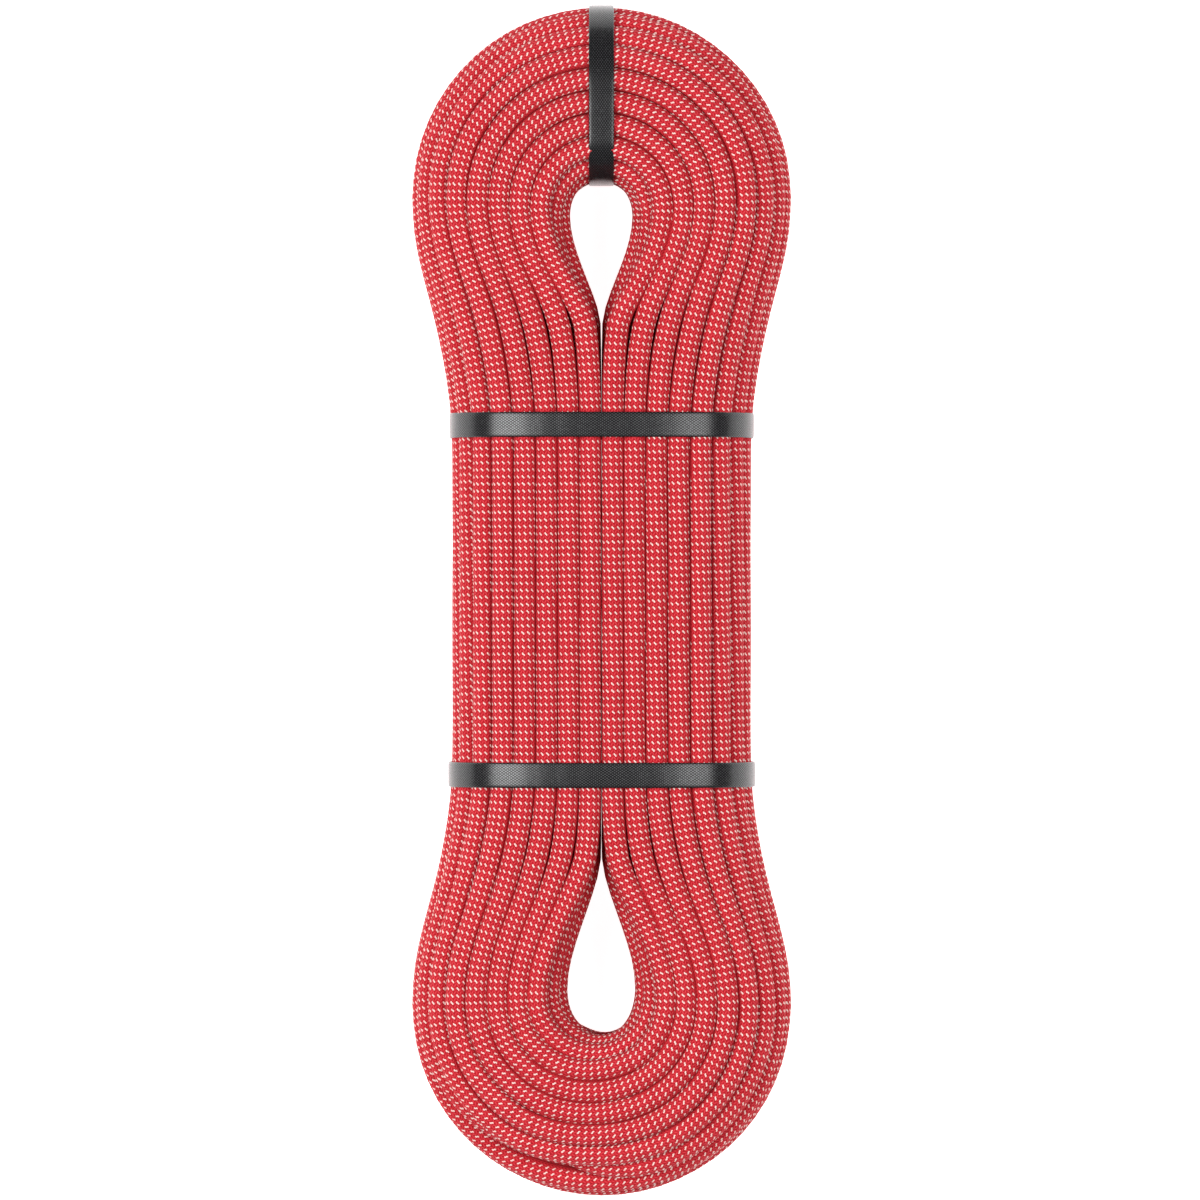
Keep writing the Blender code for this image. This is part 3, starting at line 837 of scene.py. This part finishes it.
def sheath_material():
    """A braid of two families of yarns, over two and under two, so their floats lie in columns."""
    made = new_material("sheath", SHEATH_RED, 0.8)
    graph = Graph(made)
    column, row = graph.weave_place()
    first = graph.plus(column, row)
    second = graph.math("SUBTRACT", column, row)
    first_on_top = graph.math("MULTIPLY_ADD", graph.wave(column, 1), 2.5, 0.5, clamp=True)
    yarns = [graph.math("ABSOLUTE", graph.wave(yarn, 1)) for yarn in (first, second)]
    crowns = [graph.math("POWER", yarn, 0.6) for yarn in yarns]
    threads = [graph.wave(yarn, 8) for yarn in (first, second)]
    crown = graph.mix(first_on_top, crowns[1], crowns[0])
    thread = graph.mix(first_on_top, threads[1], threads[0])
    seam = graph.math("ABSOLUTE", graph.wave(column, 1))
    height = graph.times(crown, graph.math("POWER", seam, 0.35))
    # Painted shade and highlight: the colour darkens where the braid's relief is low and lightens on
    # its crowns, with random tone from the noise mixed in.
    painted_light_and_tone = graph.plus(graph.times(height, 0.75), graph.times(graph.noise(260.0), 0.35))
    stops = (0.1, SHEATH_PAINTED_SHADE), (0.55, SHEATH_RED), (1.0, SHEATH_PAINTED_HIGHLIGHT)
    graph.set(Base_Color=graph.colours(painted_light_and_tone, *stops))
    graph.set(Roughness=graph.math("MULTIPLY_ADD", height, -0.18, 0.9), Specular_IOR_Level=0.1)
    graph.set(Sheen_Weight=0.04, Sheen_Roughness=0.5, Sheen_Tint=(1.0, 0.62, 0.62, 1.0))
    graph.bump(graph.plus(height, graph.times(thread, 0.06)), 0.00022, 0.8)
    return made


def fleck_material():
    made = new_material("cream_yarn", CREAM, 0.7)
    graph = Graph(made)
    graph.set(Sheen_Weight=0.2)
    fibres = graph.noise(5200.0, 3.0)
    graph.set(Roughness=graph.math("MULTIPLY_ADD", fibres, 0.25, 0.6))
    graph.bump(fibres, 0.00006, 0.6)
    return made


def strap_material():
    """Close black webbing pressed with small diamonds, satin where it is stretched."""
    made = new_material("black_webbing", STRAP_BLACK, 0.4)
    graph = Graph(made)
    along, across = graph.weave_place()
    rising = graph.math("ABSOLUTE", graph.wave(graph.plus(along, across), 0.5))
    falling = graph.math("ABSOLUTE", graph.wave(graph.math("SUBTRACT", along, across), 0.5))
    diamond = graph.math("MINIMUM", rising, falling)
    wear = graph.noise(700.0)
    # Painted shade and highlight: the colour darkens in the pressed lines and lightens on the raised
    # diamonds, with random wear from the noise mixed in.
    painted_light_and_tone = graph.plus(graph.times(diamond, 0.9), graph.times(wear, 0.1))
    stops = (0.1, STRAP_PAINTED_SHADE), (0.45, STRAP_BLACK), (0.9, STRAP_PAINTED_HIGHLIGHT)
    graph.set(Base_Color=graph.colours(painted_light_and_tone, *stops), Specular_IOR_Level=diamond)
    worn = graph.math("MULTIPLY_ADD", wear, 0.05, 0.25)
    graph.set(Roughness=graph.plus(graph.times(diamond, -0.03), worn))
    graph.bump(diamond, 0.00003, 0.5)
    return made


def sleeve_material():
    made = new_material("sleeve_plastic", SLEEVE_BLACK, 0.3)
    graph = Graph(made)
    cloud = graph.noise(900.0, 4.0)
    graph.set(Base_Color=graph.colours(cloud, (0.3, SLEEVE_BLACK), (0.75, SLEEVE_WORN)))
    graph.set(Roughness=graph.math("MULTIPLY_ADD", cloud, 0.25, 0.22))
    graph.bump(cloud, 0.00005, 0.4)
    return made


def melted_material():
    made = new_material("melted_red", MELTED_RED, 0.3)
    graph = Graph(made)
    cloud = graph.noise(1400.0, 5.0)
    graph.set(Base_Color=graph.colours(cloud, (0.3, MELTED_DARK), (0.6, MELTED_RED)))
    graph.set(Roughness=graph.math("MULTIPLY_ADD", cloud, 0.3, 0.15))
    graph.bump(cloud, 0.0001, 0.5)
    return made


def yarn_material(name, dark, light, scale):
    """Bundled filaments, for the core strands and the marker thread."""
    made = new_material(name, light, 0.65)
    graph = Graph(made)
    filaments = graph.noise(scale, 3.0)
    graph.set(Base_Color=graph.colours(filaments, (0.3, dark), (0.65, light)))
    graph.set(Roughness=graph.math("MULTIPLY_ADD", filaments, 0.2, 0.55), Sheen_Weight=0.15)
    graph.bump(filaments, 0.00006, 0.6)
    return made


# Stage


def build_stage():
    bpy.ops.mesh.primitive_plane_add(size=FLOOR_SIZE, location=(0.0, 0.0, FLOOR_Z))
    floor = bpy.context.object
    floor.name = "floor"
    white = new_material("floor", (0.9, 0.9, 0.9), 0.9)
    shader = white.node_tree.nodes["Principled BSDF"]
    shader.inputs["Emission Color"].default_value = (1.0, 1.0, 1.0, 1.0)
    shader.inputs["Emission Strength"].default_value = FLOOR_GLOW
    floor.data.materials.append(white)


def area_light(name, place, size, power):
    light = bpy.data.lights.new(name, "AREA")
    light.shape = "RECTANGLE"
    light.size, light.size_y = size
    light.energy = power
    made = bpy.data.objects.new(name, light)
    made.location = place
    facing = Vector((0.0, 0.0, MIDDLE_Z)) - Vector(place)
    made.rotation_euler = facing.to_track_quat("-Z", "Y").to_euler()
    bpy.context.scene.collection.objects.link(made)


def build_lights():
    area_light("left light", **LEFT_LIGHT)
    area_light("right light", **RIGHT_LIGHT)
    world = bpy.data.worlds.new("studio")
    bpy.context.scene.world = world
    world.use_nodes = True
    background = world.node_tree.nodes["Background"]
    background.inputs["Color"].default_value = (1.0, 1.0, 1.0, 1.0)
    background.inputs["Strength"].default_value = WORLD_LIGHT
    bpy.context.scene.view_settings.view_transform = "Standard"


def build_camera():
    camera = bpy.data.cameras.new("camera")
    camera.sensor_width = 36.0
    camera.lens = CAMERA_LENS
    camera.clip_end = 100.0
    made = bpy.data.objects.new("camera", camera)
    made.location = CAMERA_PLACE
    bpy.context.scene.collection.objects.link(made)
    bpy.context.scene.camera = made


# The whole hank


def add_piece(piece, body, slot, *replaced):
    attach(piece, body)
    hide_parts(*replaced)
    return piece


def build_ends(path):
    """Sleeve and melted tip on each end. The strands inside keep their CAD shape in new materials."""
    sleeve_look, tip_look = sleeve_material(), melted_material()
    core_look = yarn_material("core_yarn", CORE_SHADE, CORE_WHITE, 2600.0)
    thread_look = yarn_material("marker_yarn", THREAD_SHADE, THREAD_YELLOW, 6000.0)
    pieces = []
    for prefix, route in (("first_end", path[:END_POINTS]), ("last_end", path[:-END_POINTS - 1:-1])):
        sleeve = end_sleeve(f"{prefix}_shrunk_sleeve", route, sleeve_look)
        tip = melted_tip(f"{prefix}_rounded_tip", route, tip_look)
        pieces.append(add_piece(sleeve, "wound_rope", "end_sleeve", f"{prefix}_sleeve"))
        pieces.append(add_piece(tip, "wound_rope", "melted_tip", f"{prefix}_melted_tip"))
        for number in range(CORE_STRANDS):
            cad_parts[f"{prefix}_core_strand_{number + 1}"].data.materials[0] = core_look
        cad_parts[f"{prefix}_marker_thread"].data.materials[0] = thread_look
    return pieces


def build_straps(path):
    look = strap_material()
    waist = ("upper", UPPER_STRAP_Y, -STRAP_SLIDE), ("lower", LOWER_STRAP_Y, STRAP_SLIDE)
    for name, rest_y, slide in waist:
        piece = waist_strap(f"{name}_waist_webbing", path, rest_y, rest_y + slide, look)
        add_piece(piece, f"{name}_waist_band", "strap", f"{name}_waist_strap")
    piece = crown_strap("crown_webbing", path, CROWN_PIVOT_Y, CROWN_SWING, look)
    add_piece(piece, "crown_band", "strap", "crown_strap")


def build_hank():
    path = rope_path(Bundle())
    rope = build_rope(path, sheath_material())
    layers = [f"rope_layer_{number + 1:02d}" for number in range(LAYER_COUNT)]
    add_piece(rope, "wound_rope", "sheath", *layers, "first_end_sheath", "last_end_sheath")
    flecks = fleck_pieces(path, rope, fleck_material())
    for piece in flecks:
        add_piece(piece, "wound_rope", "sheath")
    ends = build_ends(path)
    build_straps(path)


build_camera()
build_stage()
build_lights()
build_hank()
